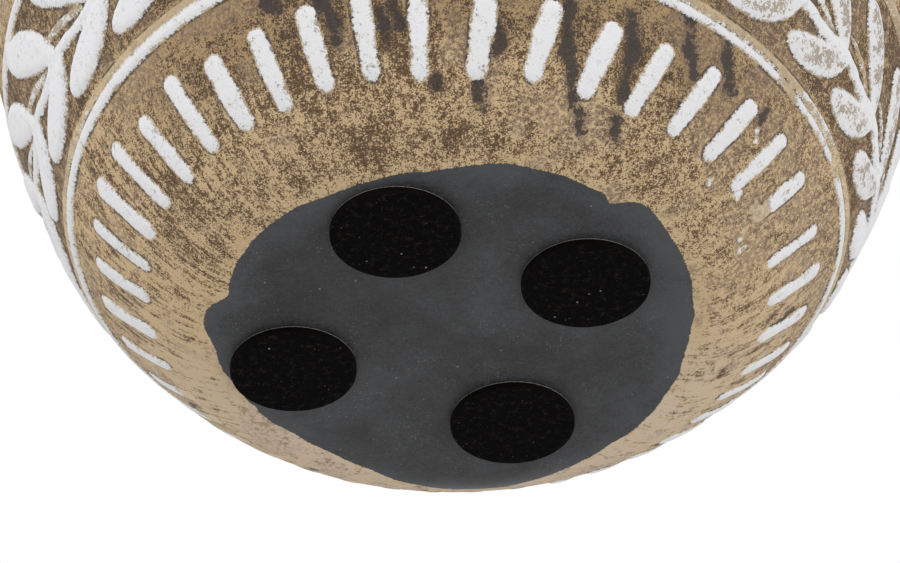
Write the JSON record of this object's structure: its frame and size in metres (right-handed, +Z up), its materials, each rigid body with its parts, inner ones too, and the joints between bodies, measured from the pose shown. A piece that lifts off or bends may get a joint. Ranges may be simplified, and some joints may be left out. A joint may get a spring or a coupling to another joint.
{
  "type": "decorative egg",
  "caption": "Decorative egg, cut flat below, with a ring of upright strokes, a double ring line and a leaf garland rubbed white over speckled brown, on felt pads.",
  "frame": {"origin": "on the standing surface, under the middle of the egg's bounding box", "axes": "+Z up along the height of the egg, -Y towards the front, +X the side that the egg leans to"},
  "size_m": [0.135, 0.135, 0.1811],
  "materials": {
    "painted_resin": "matte speckled brown with the relief dry-brushed off-white, and a matte black underside",
    "felt": "deep black felt"
  },
  "bodies": {
    "root": {"egg": "painted_resin", "felt_pad_1": "felt", "felt_pad_2": "felt", "felt_pad_3": "felt", "felt_pad_4": "felt"}
  },
  "joints": []
}
